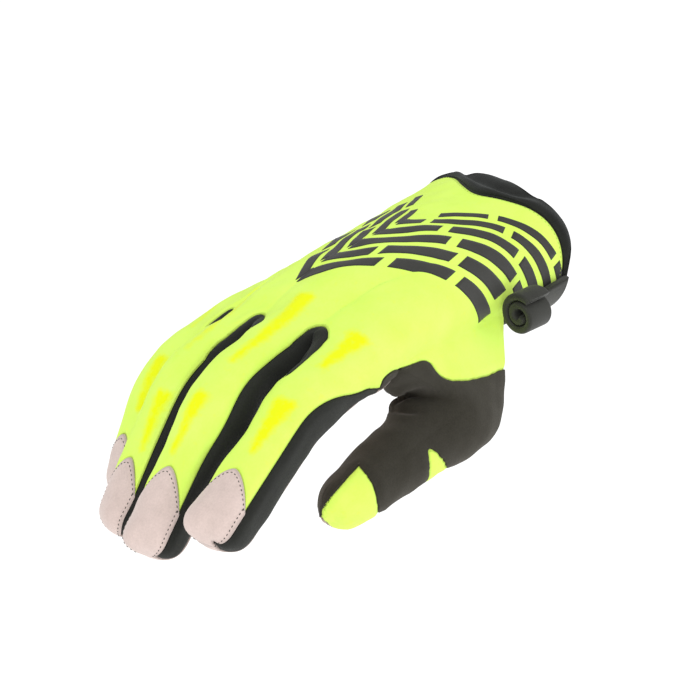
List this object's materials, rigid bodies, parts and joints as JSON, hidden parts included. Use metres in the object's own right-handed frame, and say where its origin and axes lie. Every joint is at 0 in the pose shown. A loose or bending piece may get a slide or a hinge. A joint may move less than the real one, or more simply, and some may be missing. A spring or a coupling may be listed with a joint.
{
  "type": "motocross glove",
  "caption": "Right-hand motocross glove with a fabric back, suede palm and fingertip caps, stretch side strips, soft cuff and wrist strap, shaped as worn and open at the wrist.",
  "frame": {"origin": "centre of the wrist opening", "axes": "+X out of the wrist opening, away from the fingertips; +Y from the thumb side to the little finger; +Z from the palm to the back of the hand"},
  "size_m": [0.1971, 0.104, 0.0885],
  "materials": {
    "yellow_fabric": "matte woven",
    "palm_suede": "napped suede",
    "black_stretch": "matte stretch knit",
    "thumb_suede": "napped suede",
    "cuff_knit": "soft brushed knit",
    "strap_rubber": "matte moulded"
  },
  "bodies": {
    "root": {"back_panel": "yellow_fabric", "palm_panel": "palm_suede", "index_side_strip": "black_stretch", "index_middle_fourchette": "black_stretch", "middle_ring_fourchette": "black_stretch", "ring_little_fourchette": "black_stretch", "little_side_strip": "black_stretch", "thumb_panel": "thumb_suede", "thumb_tip_panel": "yellow_fabric", "thumb_gusset": "yellow_fabric", "cuff_band": "cuff_knit", "wrist_strap": "strap_rubber", "pull_tab": "strap_rubber"}
  },
  "joints": []
}
